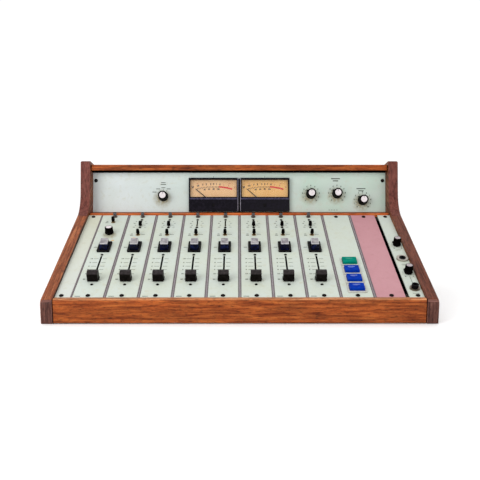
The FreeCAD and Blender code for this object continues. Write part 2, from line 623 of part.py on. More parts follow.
def meter_panel():
    sheet_metal = block(0, 0.3, "-plate_thick", "meter_panel_wide", "meter_panel_top - 0.3",
                        "plate_thick")
    cuts = [slot("vu_barrel_low - 0.3", "vu_barrel_wide + 0.6", "vu_barrel_high - vu_barrel_low + 0.6", x)
            for x in ("vu_left_x", "vu_right_x")]
    cuts += [hole(y, "pot_bush + hole_play", x) for _, surface, x, y, _, _ in rotary_places()
             if surface == "meter"]
    cuts += [hole("meter_screw_y", "strip_shank + hole_play", f"{sign} * meter_screw_x")
             for sign in (-1, 1)]
    keep("meter_panel", seat(carve(sheet_metal, *cuts), "meter"))


def meters():
    gather("vu_meter_cases", [seat(vu_case(), "meter", x) for x in ("vu_left_x", "vu_right_x")])
    lenses = [block(x, "vu_window_low + 0.1", 5.9, "vu_window_wide - 0.2",
                    "vu_window_high - vu_window_low - 0.2", 0.8) for x in ("vu_left_x", "vu_right_x")]
    seat(gather("vu_lenses", lenses), "meter")
    vu_needle("vu_needle_left", "vu_left_x")
    vu_needle("vu_needle_right", "vu_right_x")


# ---------------------------------------------------------------- connectors and boards
def jack(y, ring, top):
    body = carve(join(rod(0, 0, 0.05, ring, 2.2), rod(0, 0, -16, "jack_barrel", f"16 + {top}")),
                 rod(0, 0, -17, "jack_bore", f"18 + {top}"))
    return seat(body, "panel", "end_control_x", y)


def rear_socket(x):
    outside = from_front("back_wall_y + steel + seat_gap")
    flange = block(x, outside, "socket_z - 10", 74, 2, 20)
    body = block(x, from_front("back_wall_y - 8"), "socket_z - 7", 62, 13.6, 14)
    recess = block(x, from_front("back_wall_y + 2.6"), "socket_z - 4", 56, 10, 8)
    return carve(join(flange, body), recess)


def connectors():
    gather("connectors", [jack("jack_high", "jack_ring_high", "jack_top_high"),
                           jack("jack_low", "jack_ring_low", "jack_top_low")]
           + [rear_socket(x) for x in socket_places()])


def circuit_boards():
    """A card beside each strip's controls, a mother board and a meter amplifier board."""
    cards = []
    for number in range(1, 11):
        card = extruded([("40", "8.9"), ("228", "8.9"), ("228", "112"), ("40", "35")], "board_sheet")
        cards.append(stand(card, f"{channel_x(number)} + card_offset"))
    mother = block(0, from_front(30), 7.1, 460, 305, "board_sheet")
    amplifier = block(0, from_front(328), 30, 400, "board_sheet", 120)
    gather("circuit_boards", cards + [mother, amplifier])


# ---------------------------------------------------------------- assembly and export
def assemble():
    wooden_case()
    chassis_tray()
    faceplates()
    divider_bars()
    panel_fasteners()
    control_bodies()
    meter_panel()
    meters()
    connectors()
    circuit_boards()
    for number in range(1, CHANNELS + 1):
        fader_knob(number)
        toggle_lever(number)
        cue_key(number)
        if number > 1:
            slide_lever(number)
    for index, label in enumerate(PUSH_BUTTONS):
        push_button(label, index)
    for label, surface, x, y, radius, height in rotary_places():
        rotary_knob(label, surface, x, y, radius, height)


def check_and_export():
    doc.recompute()
    for item in doc.Objects:
        if "Invalid" in item.State or "Error" in item.State:
            raise RuntimeError(f"{item.Name} ({item.Label}) failed: {item.State}")
    for label, item in nodes.items():
        if item.Shape.isNull() or not item.Shape.isValid():
            raise RuntimeError(f"{label} has no valid shape")
    os.makedirs("parts", exist_ok=True)
    for label, item in nodes.items():
        item.Shape.exportStep(f"parts/{label}.step")
        print(f"{label}: {len(item.Shape.Solids)} solids, {item.Shape.Volume / 1000:.2f} cm3")
    print(len(nodes), "nodes")


assemble()
check_and_export()
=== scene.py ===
"""The mixing console's looks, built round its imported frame.

Sizes are in millimetres on one of three surfaces: "panel" is the sloping faceplates' top surface,
measured up the slope from their front edge, "meter" is the meter panel's front surface, measured
up from its foot, and "row" is the whole part's own frame.
"""
import json
import math

import bmesh
import bpy
from mathutils import Matrix, Vector


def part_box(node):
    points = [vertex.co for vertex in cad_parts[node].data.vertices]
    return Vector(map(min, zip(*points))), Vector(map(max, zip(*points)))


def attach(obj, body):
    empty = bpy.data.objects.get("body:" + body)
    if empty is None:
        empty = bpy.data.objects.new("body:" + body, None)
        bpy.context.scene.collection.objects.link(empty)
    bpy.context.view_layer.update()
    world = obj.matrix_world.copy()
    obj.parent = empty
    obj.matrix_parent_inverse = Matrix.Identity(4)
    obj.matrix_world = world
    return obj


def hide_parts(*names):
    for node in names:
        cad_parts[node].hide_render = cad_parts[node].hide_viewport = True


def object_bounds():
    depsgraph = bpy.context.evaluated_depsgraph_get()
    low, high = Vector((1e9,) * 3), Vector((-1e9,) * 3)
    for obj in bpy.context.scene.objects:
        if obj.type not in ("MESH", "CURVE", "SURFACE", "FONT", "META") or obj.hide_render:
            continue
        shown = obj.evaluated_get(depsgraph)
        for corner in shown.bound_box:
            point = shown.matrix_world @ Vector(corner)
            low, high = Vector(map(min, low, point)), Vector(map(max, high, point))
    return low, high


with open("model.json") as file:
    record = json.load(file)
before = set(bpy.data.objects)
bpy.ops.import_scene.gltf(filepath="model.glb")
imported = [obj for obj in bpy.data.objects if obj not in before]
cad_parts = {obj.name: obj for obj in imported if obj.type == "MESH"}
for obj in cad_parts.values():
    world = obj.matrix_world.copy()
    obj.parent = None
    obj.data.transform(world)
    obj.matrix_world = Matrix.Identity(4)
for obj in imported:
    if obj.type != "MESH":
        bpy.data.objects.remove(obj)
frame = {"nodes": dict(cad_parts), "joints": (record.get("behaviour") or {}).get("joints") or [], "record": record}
CAD_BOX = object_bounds()

MM = 0.001
X, Y, Z = range(3)
ROOT = "console"
CHANNELS = range(1, 9)
NODES = frame["nodes"]
JOINTS = {joint["name"]: joint for joint in frame["joints"]}
MOUNTS = {mount["name"]: Vector(mount["pos_m"]) for mount in frame["record"]["mounts"]}
METER_KNOBS = ("selector_knob", "level_knob_1", "level_knob_2", "level_knob_3")


# -------------------- surfaces
PLATE_THICK = 2 * MM
METER_GAP = 0.3 * MM


def surface(tilt, origin):
    """Millimetres on a slanted surface, turned into metres in the row frame."""
    return Matrix.Translation(origin) @ Matrix.Rotation(tilt, 4, "X") @ Matrix.Scale(MM, 4)


def panel_surface():
    """The sloping faceplates' top surface: the faders slide along it."""
    axis = JOINTS["fader_1_slide"]["axis"]
    tilt = math.atan2(axis[Z], axis[Y])
    low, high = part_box("blank_faceplate")
    length = (high.y - low.y - PLATE_THICK * math.sin(tilt)) / math.cos(tilt)
    return surface(tilt, Vector((0, low.y, high.z - length * math.sin(tilt))))


def meter_surface():
    """The meter panel's front surface. The panel starts a small gap above the surface's foot."""
    axis = JOINTS["vu_left_swing"]["axis"]
    tilt = math.atan2(axis[Y], -axis[Z])
    low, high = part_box("meter_panel")
    rise = high.z - low.z - PLATE_THICK * math.cos(tilt)
    foot = Vector((0, low.y, high.z - rise))
    return surface(tilt, foot - METER_GAP * Vector((0, math.cos(tilt), math.sin(tilt))))


PANEL = panel_surface()
METER = meter_surface()
ROW = Matrix.Scale(MM, 4)


def middle(node, on):
    """The centre of a node's box, on a surface."""
    low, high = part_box(node)
    return on.inverted() @ ((low + high) / 2)


def joint_at(name, on):
    """Where a joint's axis passes, on a surface."""
    return on.inverted() @ Vector(JOINTS[name]["pos_m"])


CHANNEL_X = {number: middle(f"fader_knob_{number}", PANEL).x for number in CHANNELS}
STRIP_X = joint_at("headphone_knob_turn", PANEL).x
BUTTON_TOP = 5.3
# Printed ink starts just under a plate's surface and ends just above it.
SUNK = -0.02
INK = 0.07


# -------------------- finishes
STUDIO_LEVEL = 1.45


def rgb(red, green, blue, level=STUDIO_LEVEL):
    """A colour as it looks under the studio light, in 0 to 255 display values, made linear."""
    def linear(value):
        share = value / 255
        return (share / 12.92 if share <= 0.04045 else ((share + 0.055) / 1.055) ** 2.4) / level
    return (linear(red), linear(green), linear(blue), 1.0)


class Finish:
    """A Principled material being wired up. Texture sizes are millimetres on the object."""

    def __init__(self, name, roughness, metallic=0.0, **levels):
        self.material = bpy.data.materials.new(name)
        self.material.use_nodes = True
        self.tree = self.material.node_tree
        self.shader = self.tree.nodes["Principled BSDF"]
        self.shader.inputs["Roughness"].default_value = roughness
        self.shader.inputs["Metallic"].default_value = metallic
        for socket, level in levels.items():
            self.shader.inputs[socket.replace("_", " ")].default_value = level
        self.place = self.node("ShaderNodeTexCoord").outputs["Object"]

    def node(self, kind, **settings):
        made = self.tree.nodes.new(kind)
        for name, setting in settings.items():
            setattr(made, name, setting)
        return made

    def link(self, source, target):
        self.tree.links.new(source, target)

    def noise(self, size, stretch=(1, 1, 1), detail=4, distortion=0.0):
        """Noise with blobs about size mm across, and longer where stretched."""
        mapping = self.node("ShaderNodeMapping")
        mapping.inputs["Scale"].default_value = [1 / (size * MM * factor) for factor in stretch]
        texture = self.node("ShaderNodeTexNoise")
        texture.inputs["Scale"].default_value = 1
        texture.inputs["Detail"].default_value = detail
        texture.inputs["Distortion"].default_value = distortion
        self.link(self.place, mapping.inputs["Vector"])
        self.link(mapping.outputs["Vector"], texture.inputs["Vector"])
        return texture.outputs["Fac"]

    def lean(self, angle):
        """Turn the texture's axes about X, so that its Y runs up a slope."""
        mapping = self.node("ShaderNodeMapping")
        mapping.inputs["Rotation"].default_value = (-angle, 0, 0)
        self.link(self.place, mapping.inputs["Vector"])
        self.place = mapping.outputs["Vector"]

    def along(self, axis, start, end):
        """0 to 1 between two places on one of the row's axes, in millimetres."""
        parts = self.node("ShaderNodeSeparateXYZ")
        self.link(self.place, parts.inputs[0])
        spread = self.node("ShaderNodeMapRange")
        spread.inputs["From Min"].default_value = start * MM
        spread.inputs["From Max"].default_value = end * MM
        self.link(parts.outputs[axis], spread.inputs["Value"])
        return spread.outputs["Result"]

    def rings(self, size, stretch, count):
        """Growth rings: contour lines of a broad drawn-out noise, sharp on one side."""
        spread = self.node("ShaderNodeMath", operation="MULTIPLY")
        spread.inputs[1].default_value = count
        self.link(self.noise(size, stretch, 1.5, 0.5), spread.inputs[0])
        cut = self.node("ShaderNodeMath", operation="FRACT")
        self.link(spread.outputs[0], cut.inputs[0])
        return cut.outputs[0]

    def ramp(self, factor, *stops):
        """Colours or grey levels by position along a factor."""
        ramp = self.node("ShaderNodeValToRGB")
        while len(ramp.color_ramp.elements) < len(stops):
            ramp.color_ramp.elements.new(0.5)
        for element, (place, colour) in zip(ramp.color_ramp.elements, stops):
            element.position = place
            element.color = colour if isinstance(colour, tuple) else (colour, colour, colour, 1)
        self.link(factor, ramp.inputs["Fac"])
        return ramp.outputs["Color"]

    def mix(self, share, first, second, mode="MIX"):
        """Two colours mixed; each may be a socket or a plain colour, and the share a socket or number."""
        mix = self.node("ShaderNodeMix", data_type="RGBA", blend_type=mode)
        for socket, given in ((mix.inputs[0], share), (mix.inputs[6], first), (mix.inputs[7], second)):
            if isinstance(given, bpy.types.NodeSocket):
                self.link(given, socket)
            else:
                socket.default_value = given
        return mix.outputs[2]

    def colour(self, source):
        self.link(source, self.shader.inputs["Base Color"])
        return self

    def roughness(self, source):
        self.link(source, self.shader.inputs["Roughness"])
        return self

    def bump(self, height, depth):
        """Raises the surface by up to depth mm where height is 1."""
        bump = self.node("ShaderNodeBump")
        bump.inputs["Distance"].default_value = depth * MM
        bump.inputs["Strength"].default_value = 1
        self.link(height, bump.inputs["Height"])
        self.link(bump.outputs["Normal"], self.shader.inputs["Normal"])
        return self


def walnut(name, dark, mid, light, grain, slope=0.0, bold=0.8, painted_shade_heights=None):
    """Oiled walnut: growth rings, streaks and pores drawn out along the grain axis.

    The slope is the angle at which the grain climbs, and bold is how strongly the figure and the
    rings show. Wood given painted shade is darker below one height and reaches its full colour at another.
    """
    finish = Finish(name, 0.45, Specular_IOR_Level=0.12)
    height = finish.along(Z, *painted_shade_heights) if painted_shade_heights else None
    fibres = finish.noise(0.9, detail=5)
    finish.lean(slope)

    def drawn(factor):
        return tuple(factor if axis == grain else 1 for axis in (X, Y, Z))

    streaks = finish.noise(3.0, drawn(16), 9, 0.8)
    figure = finish.noise(22, drawn(4.5), 5, 1.2)
    rings = finish.rings(30, drawn(8), 7)
    pores = finish.noise(1.5, drawn(5), 3, 0.3)
    base = finish.ramp(streaks, (0.32, dark), (0.5, mid), (0.68, light))
    base = finish.mix(bold, base, finish.ramp(figure, (0.34, 0.7), (0.66, 1.2)), "MULTIPLY")
    ringed = finish.ramp(rings, (0.0, 0.6), (0.25, 1.02), (0.8, 1.12), (1.0, 0.72))
    base = finish.mix(0.65 * bold, base, ringed, "MULTIPLY")
    if painted_shade_heights:
        base = finish.mix(1.0, base, finish.ramp(height, (0.0, 0.3), (1.0, 1.0)), "MULTIPLY")
    pored = finish.ramp(pores, (0.34, 0.3), (0.48, 1.0))
    base = finish.mix(0.5, base, finish.ramp(fibres, (0.34, 0.74), (0.62, 1.16)), "MULTIPLY")
    finish.colour(finish.mix(0.7, base, pored, "MULTIPLY"))
    finish.roughness(finish.ramp(streaks, (0.3, 0.55), (0.7, 0.4)))
    return finish.bump(pored, 0.12).material


def enamel(name, base, stain, dirt, fade_and_light=None, handled=(), lift=None):
    """Old semi-gloss paint: cloudy stains, fine speckle and orange peel.

    A fade is another base colour, reached between two places on an axis: the yellowed plate's own tone, and on the
    meter panel painted light, paler towards the key lamp on the left. Handled places, in metres with a radius, are
    grubbier. A lift is a pair of heights: the paint grows paler from the first to the second, a painted light
    against the shade under the top board.
    """
    finish = Finish(name, 0.45, Specular_IOR_Level=0.25)
    clouds = finish.ramp(finish.noise(38, detail=6, distortion=0.5), (0.36, 0.0), (0.68, 1.0))
    marks = finish.ramp(finish.noise(7, detail=5, distortion=0.3), (0.55, 0.0), (0.78, 0.7))
    speckle = finish.ramp(finish.noise(0.7, detail=2), (0.3, 0.93), (0.6, 1.0))
    if fade_and_light:
        far, axis, start, end = fade_and_light
        base = finish.mix(finish.along(axis, start, end), base, far)
    colour = finish.mix(finish.mix(0.6, (0, 0, 0, 1), clouds), base, stain)
    colour = finish.mix(marks, colour, dirt)
    # Painted light: the paint grows paler upward.
    if lift:
        rise = finish.ramp(finish.along(Z, *lift), (0.0, 1.0), (1.0, 1.22))
        colour = finish.mix(1.0, colour, rise, "MULTIPLY")
    grime = finish.noise(3.5, detail=4) if handled else None
    for place, reach in handled:
        near = finish.node("ShaderNodeVectorMath", operation="DISTANCE")
        finish.link(finish.place, near.inputs[0])
        near.inputs[1].default_value = place
        share = finish.node("ShaderNodeMath", operation="DIVIDE")
        finish.link(near.outputs["Value"], share.inputs[0])
        share.inputs[1].default_value = reach
        ring = finish.ramp(share.outputs[0], (0.45, 0.95), (1.0, 0.0))
        patch = finish.mix(1.0, ring, finish.ramp(grime, (0.3, 0.25), (0.6, 1.0)), "MULTIPLY")
        colour = finish.mix(patch, colour, rgb(168, 160, 128))
    finish.colour(finish.mix(1.0, colour, speckle, "MULTIPLY"))
    finish.roughness(finish.ramp(clouds, (0, 0.4), (1, 0.54)))
    return finish.bump(finish.noise(0.9, detail=2), 0.01).material


def plastic(name, base, worn, roughness, grain=0.5, shine=0.1):
    """Plastic, felt or paint: a fine texture, with a second colour where it is worn."""
    finish = Finish(name, roughness, Specular_IOR_Level=shine)
    wear = finish.ramp(finish.noise(4, detail=6), (0.45, 0.0), (0.75, 1.0))
    finish.colour(finish.mix(wear, base, worn))
    finish.roughness(finish.ramp(wear, (0, roughness * 0.85), (1, min(1.0, roughness * 1.3))))
    return finish.bump(finish.noise(grain, detail=2), 0.012).material


def metal(name, base, shade, roughness):
    """Worn metal, finely mottled between two colours and two grades of polish."""
    finish = Finish(name, roughness, metallic=1.0)
    mottle = finish.noise(0.8)
    finish.colour(finish.mix(finish.ramp(mottle, (0.3, 0.0), (0.7, 1.0)), base, shade))
    finish.roughness(finish.ramp(mottle, (0.3, roughness * 0.8), (0.7, roughness * 1.3)))
    return finish.bump(mottle, 0.006).material


def tinted(name, base, deep):
    """A coloured cap that is deeper in patches, as tinted plastic is."""
    finish = Finish(name, 0.28, Specular_IOR_Level=0.01)
    patches = finish.ramp(finish.noise(6, detail=3), (0.35, 0.0), (0.7, 1.0))
    finish.colour(finish.mix(patches, base, deep))
    return finish.bump(finish.noise(1.4, detail=2), 0.01).material


def dial_card(name, low, high):
    """A printed amber card that glows faintly, brighter in cloudy patches: painted light."""
    # The emission is painted light: the card is no lamp.
    finish = Finish(name, 0.6, Emission_Strength=0.12)
    fibres = finish.ramp(finish.noise(0.6, detail=3), (0.3, 0.95), (0.7, 1.0))
    glow = finish.ramp(finish.noise(26, detail=2), (0.3, low), (0.7, high))
    colour = finish.mix(1.0, glow, fibres, "MULTIPLY")
    finish.link(colour, finish.shader.inputs["Emission Color"])
    return finish.colour(colour).bump(fibres, 0.01).material


def lens():
    """Clear acrylic with the faintest haze."""
    finish = Finish("clear_acrylic", 0.05, Specular_IOR_Level=0.1, Alpha=0.03)
    haze = finish.ramp(finish.noise(9, detail=4), (0.4, rgb(236, 234, 228)), (0.8, rgb(250, 249, 246)))
    return finish.colour(haze).material


def ink(name, base, faded):
    """Screen-printed ink, worn thin in places."""
    finish = Finish(name, 0.55)
    wear = finish.ramp(finish.noise(1.8, detail=4), (0.42, 0.0), (0.7, 1.0))
    return finish.colour(finish.mix(wear, base, faded)).material


def grubby(node, on, across, along, reach):
    """The handled patch beside a knob: its middle in metres, and its radius."""
    return on @ (joint_at(f"{node}_turn", on) + Vector((across, along, 0))), reach * MM


def finishes():
    """Every finish by the name that the pieces use. The cheeks' grain follows the panel's slope."""
    axis = JOINTS["fader_1_slide"]["axis"]
    slope = math.atan2(axis[Z], axis[Y])
    level_knobs = [grubby(node, METER, -1.5, -3.5, 17) for node in METER_KNOBS]
    first_knob = [grubby("channel_1_knob", PANEL, 1.0, -5.0, 13)]
    return {
        # The left cheek's walnut is lighter and the right cheek's darker: painted light and painted shade, for the
        # key lamp on the left.
        "side_left": walnut("walnut_left_painted_light", rgb(124, 62, 34), rgb(158, 86, 50), rgb(184, 110, 66),
                            Y, slope, 0.4),
        "side_right": walnut("walnut_right_painted_shade", rgb(84, 40, 28), rgb(112, 58, 40), rgb(134, 74, 54),
                             Y, slope, 0.4),
        # The cheeks' inner faces: the left one darker, and darker still low down, as painted shade; the right one
        # lighter, as painted light.
        "inner_left": walnut("walnut_inner_left_painted_shade", rgb(100, 48, 26), rgb(146, 82, 50), rgb(176, 108, 70),
                             Y, slope, 0.4, (112, 138)),
        "inner_right": walnut("walnut_inner_right_painted_light", rgb(84, 42, 20), rgb(130, 70, 38), rgb(160, 94, 56),
                              Y, slope, 0.4),
        "upright": walnut("walnut_upright", rgb(94, 48, 41), rgb(116, 62, 53), rgb(132, 76, 65),
                          Z, 0.0, 0.25),
        "side_end": walnut("walnut_end_grain", rgb(62, 34, 28), rgb(90, 54, 46), rgb(112, 72, 62),
                           Z, 0.0, 0.3),
        # The rounded nose's paler walnut is a painted highlight.
        "nose": walnut("walnut_nose_painted_highlight", rgb(104, 64, 54), rgb(130, 86, 76), rgb(150, 106, 96),
                       X, 0.0, 0.4),
        "rail": walnut("walnut_rail", rgb(116, 48, 14), rgb(160, 77, 29), rgb(188, 102, 44), X),
        # Paler walnut for the front rail's upward faces: a painted highlight.
        "rail_edge": walnut("walnut_rail_painted_highlight", rgb(172, 98, 56), rgb(198, 128, 82), rgb(216, 154, 110), X),
        "ledge": walnut("walnut_ledge", rgb(170, 72, 24), rgb(200, 94, 36), rgb(218, 122, 60), X),
        # Near-black finish for painted shade in gaps, slots, under the top board and between the meters.
        "shade_black": plastic("painted_shade_black", rgb(4, 2, 1), rgb(14, 7, 5), 0.8, shine=0.0),
        "steel": plastic("black_steel_paint", rgb(30, 24, 20), rgb(52, 42, 34), 0.5, 1.2),
        "mint": enamel("mint_enamel", rgb(213, 222, 213), rgb(212, 219, 200), rgb(206, 206, 182),
                       handled=first_knob),
        "mint_left": enamel("mint_enamel_yellowed", rgb(217, 222, 214), rgb(214, 217, 202),
                            rgb(208, 206, 184), (rgb(216, 218, 196), Z, 55, 120)),
        # The meter panel is paler to the left and paler near its top: painted light, for the key lamp on the left
        # and against the shade under the top board.
        "mint_panel": enamel("mint_enamel_panel", rgb(220, 228, 228), rgb(212, 220, 214),
                             rgb(204, 206, 190), (rgb(198, 219, 204), X, -200, 80), level_knobs,
                             (172, 196)),
        "pink": enamel("pink_enamel", rgb(206, 149, 156), rgb(200, 143, 150), rgb(192, 138, 142)),
        # The bars' grey is made paler to offset the shade in their grooves: painted light. The darker grey is
        # painted shade on their sides and ridges, and the slim left bar's own darker tone.
        "divider": plastic("divider_aluminium", rgb(186, 178, 181), rgb(202, 196, 198), 0.45, 1.0, 0.4),
        "divider_dark": plastic("divider_edge", rgb(118, 107, 111), rgb(138, 128, 132), 0.6, 1.0, 0.1),
        "black": plastic("black_plastic", rgb(12, 9, 12), rgb(28, 25, 28), 0.45, shine=0.05),
        "gloss": plastic("gloss_black_plastic", rgb(3, 2, 2), rgb(12, 10, 9), 0.45, 2.0, 0.02),
        "fader": plastic("fader_black", rgb(10, 7, 6), rgb(26, 21, 19), 0.4, shine=0.05),
        "fader_top": plastic("fader_worn_top", rgb(34, 28, 29), rgb(60, 53, 54), 0.42),
        "case": plastic("meter_black", rgb(12, 8, 18), rgb(24, 19, 32), 0.28, 2.0, 0.06),
        "case_rim": plastic("meter_rim", rgb(54, 50, 76), rgb(78, 74, 98), 0.3, 2.0),
        # Pale grey for strips on the cases' inner edges: painted highlights.
        "case_edge": plastic("meter_edge_painted_highlight", rgb(140, 136, 150), rgb(176, 172, 184), 0.4, 2.0),
        "board": plastic("board_green", rgb(38, 92, 58), rgb(60, 116, 74), 0.5, shine=0.3),
        "screw": plastic("blackened_steel", rgb(8, 3, 3), rgb(34, 20, 18), 0.4, 0.8, 0.05),
        "stud": metal("stud_nickel", rgb(150, 138, 142), rgb(84, 74, 80), 0.2),
        "washer": metal("washer_nickel", rgb(140, 128, 118), rgb(96, 84, 76), 0.4),
        "pale_brass": metal("pale_brass", rgb(222, 200, 160), rgb(180, 150, 108), 0.3),
        "cream": metal("cream_nickel", rgb(222, 216, 206), rgb(184, 172, 160), 0.32),
        "bronze": metal("dull_bronze", rgb(170, 154, 140), rgb(104, 88, 78), 0.36),
        "nickel": metal("nickel_bush", rgb(200, 180, 140), rgb(148, 124, 88), 0.24),
        "silver": metal("spun_silver", rgb(226, 214, 216), rgb(198, 186, 190), 0.34),
        "key": plastic("key_navy", rgb(10, 11, 30), rgb(20, 30, 78), 0.25, 3.0, 0.1),
        "key_top": tinted("key_pale_top", rgb(178, 175, 177), rgb(122, 116, 122)),
        "key_rim": plastic("key_rim_pale", rgb(208, 205, 208), rgb(176, 172, 177), 0.3, shine=0.2),
        "white": plastic("ivory_cap", rgb(236, 228, 230), rgb(214, 204, 206), 0.35, 1.5, 0.3),
        "frame": plastic("pale_frame", rgb(204, 203, 196), rgb(176, 172, 160), 0.5, shine=0.3),
        "green": tinted("green_cap", rgb(0, 142, 122), rgb(0, 122, 104)),
        "blue": tinted("blue_cap", rgb(10, 60, 178), rgb(4, 44, 150)),
        "blue_label": ink("label_white", rgb(128, 146, 214), rgb(76, 100, 196)),
        "green_label": ink("label_green", rgb(50, 146, 124), rgb(26, 128, 106)),
        "print": ink("dark_print", rgb(64, 72, 64), rgb(110, 116, 104)),
        "print_pale": ink("pale_print", rgb(84, 90, 76), rgb(128, 132, 116)),
        "print_orange": ink("orange_print", rgb(240, 160, 44), rgb(232, 176, 84)),
        "print_dark": ink("dial_black", rgb(14, 8, 4), rgb(34, 22, 12)),
        "print_red": ink("dial_red", rgb(212, 4, 0), rgb(220, 24, 10)),
        "print_rust": ink("dial_rust", rgb(196, 112, 76), rgb(206, 136, 92)),
        "needle": plastic("needle_black", rgb(26, 18, 14), rgb(40, 30, 24), 0.35),
        "card_left": dial_card("dial_card_left", rgb(222, 170, 116), rgb(234, 188, 134)),
        "card_right": dial_card("dial_card_right", rgb(224, 166, 88), rgb(238, 186, 108)),
        "lens": lens(),
    }


FINISH = finishes()


def paint(node, finish):
    """Give a CAD node one finish."""
    mesh = NODES[node].data
    mesh.materials.clear()
    mesh.materials.append(FINISH[finish])


def paint_faces(node, finish, on, chosen):
    """Give a second finish to the faces of a node whose centre and normal, on a surface, are chosen."""
    mesh = NODES[node].data
    mesh.materials.append(FINISH[finish])
    index = len(mesh.materials) - 1
    to_local = on.inverted()
    turn = to_local.to_3x3()
    for face in mesh.polygons:
        if chosen(to_local @ face.center, (turn @ face.normal).normalized()):
            face.material_index = index


# -------------------- shapes, in millimetres
def brick(shape, x, y, z, wide, long, high, soft=0.0, turn=0.0):
    """A box centred on x and y that stands on z, with softened edges."""
    spin = Matrix.Translation((x, y, z + high / 2)) @ Matrix.Rotation(turn, 4, "Z")
    made = bmesh.ops.create_cube(shape, size=1, matrix=spin @ Matrix.Diagonal((wide, long, high, 1)))
    if soft:
        edges = list({edge for vertex in made["verts"] for edge in vertex.link_edges})
        bmesh.ops.bevel(shape, geom=edges, offset=soft, segments=2, affect="EDGES", profile=0.6)


def lathe(shape, x, y, profile, steps, flutes=0, depth=0.0, fluted=(0, 0)):
    """A closed turned solid from radius and height pairs; flutes wave the rings between two heights.

    A profile that starts and ends off the axis is closed into a ring.
    """
    rings = []
    for radius, height in profile:
        if radius == 0:
            rings.append([shape.verts.new((x, y, height))])
            continue
        ring = []
        for step in range(steps):
            angle = 2 * math.pi * step / steps
            wave = 0.5 - 0.5 * math.cos(flutes * angle)
            size = radius - depth * wave if fluted[0] <= height <= fluted[1] and flutes else radius
            ring.append(shape.verts.new((x + size * math.cos(angle), y + size * math.sin(angle), height)))
        rings.append(ring)
    closed = profile[0][0] > 0 and profile[-1][0] > 0
    pairs = list(zip(rings, rings[1:])) + ([(rings[-1], rings[0])] if closed else [])
    for low, high in pairs:
        for step in range(steps):
            after = (step + 1) % steps
            if len(low) == 1:
                shape.faces.new((low[0], high[after], high[step]))
            elif len(high) == 1:
                shape.faces.new((low[step], low[after], high[0]))
            else:
                shape.faces.new((low[step], low[after], high[after], high[step]))


def band(shape, x, y, inner, outer, start, end, low, high, steps=18):
    """A flat ring sector between two angles, in degrees from straight up, clockwise."""
    rows = []
    for step in range(steps + 1):
        angle = math.radians(start + (end - start) * step / steps)
        across, along = math.sin(angle), math.cos(angle)
        rows.append([shape.verts.new((x + radius * across, y + radius * along, height))
                     for radius, height in ((inner, low), (outer, low), (outer, high), (inner, high))])
    for first, second in zip(rows, rows[1:]):
        for corner in range(4):
            after = (corner + 1) % 4
            shape.faces.new((first[corner], first[after], second[after], second[corner]))
    shape.faces.new(rows[0])
    shape.faces.new(list(reversed(rows[-1])))


def frame_ring(shape, x, y, outside, inside, low, high, soft):
    """A rectangular frame with a softened top: outside and inside are (wide, long)."""
    corners = [(-1, -1), (1, -1), (1, 1), (-1, 1)]
    levels = []
    for (wide, long), height in ((outside, low), (outside, high), (inside, high), (inside, low)):
        levels.append([shape.verts.new((x + sx * wide / 2, y + sy * long / 2, height)) for sx, sy in corners])
    rims = []
    for level, following in zip(levels, levels[1:] + levels[:1]):
        for corner in range(4):
            after = (corner + 1) % 4
            face = shape.faces.new((level[corner], level[after], following[after], following[corner]))
            rims.append(face)
    edges = [edge for edge in {edge for face in rims for edge in face.edges}
             if all(vertex.co.z > high - 0.01 for vertex in edge.verts)]
    shape.normal_update()
    bmesh.ops.bevel(shape, geom=edges, offset=soft, segments=2, affect="EDGES", profile=0.6)


NUMERALS = {}
# Faces that meet at more than this angle keep a crisp edge.
SHARP = math.radians(35)


def numeral(text, size):
    """The mesh of a small printed number, centred on the origin."""
    key = (text, size)
    if key not in NUMERALS:
        curve = bpy.data.curves.new("numeral", "FONT")
        curve.body = text
        curve.size = size
        curve.extrude = 0.03
        curve.offset = 0.06 * size
        curve.resolution_u = 2
        curve.align_x = "CENTER"
        curve.align_y = "CENTER"
        holder = bpy.data.objects.new("numeral", curve)
        bpy.context.scene.collection.objects.link(holder)
        bpy.context.view_layer.update()
        NUMERALS[key] = bpy.data.meshes.new_from_object(holder)
        bpy.data.objects.remove(holder)
        bpy.data.curves.remove(curve)
    return NUMERALS[key]


def print_number(shape, text, x, y, z, size, turn=0.0):
    """Add a printed number to a shape."""
    before = len(shape.verts)
    shape.from_mesh(numeral(text, size))
    shape.verts.ensure_lookup_table()
    move = Matrix.Translation((x, y, z)) @ Matrix.Rotation(turn, 4, "Z")
    bmesh.ops.transform(shape, matrix=move, verts=shape.verts[before:])


def piece(name, shape, on, finish, body):
    """Turn a shape in millimetres on a surface into an object that rides on a body."""
    bmesh.ops.recalc_face_normals(shape, faces=shape.faces)
    mesh = bpy.data.meshes.new(name)
    shape.to_mesh(mesh)
    shape.free()
    mesh.transform(on)
    mesh.materials.append(FINISH[finish])
    mesh.polygons.foreach_set("use_smooth", [True] * len(mesh.polygons))
    mesh.set_sharp_from_angle(angle=SHARP)
    made = bpy.data.objects.new(name, mesh)
    bpy.context.scene.collection.objects.link(made)
    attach(made, body)
    return made


# -------------------- carried-over CAD nodes
# Heights above the desk at which a cheek's faces change finish.
NOSE_LOW, NOSE_HIGH = 20, 40
FRONT_END_TOP = 34
UPRIGHT_FOOT = 118
# An inner face looks at the console's middle, so its normal's x and its own x have opposite signs.
INNER_FACE = -200


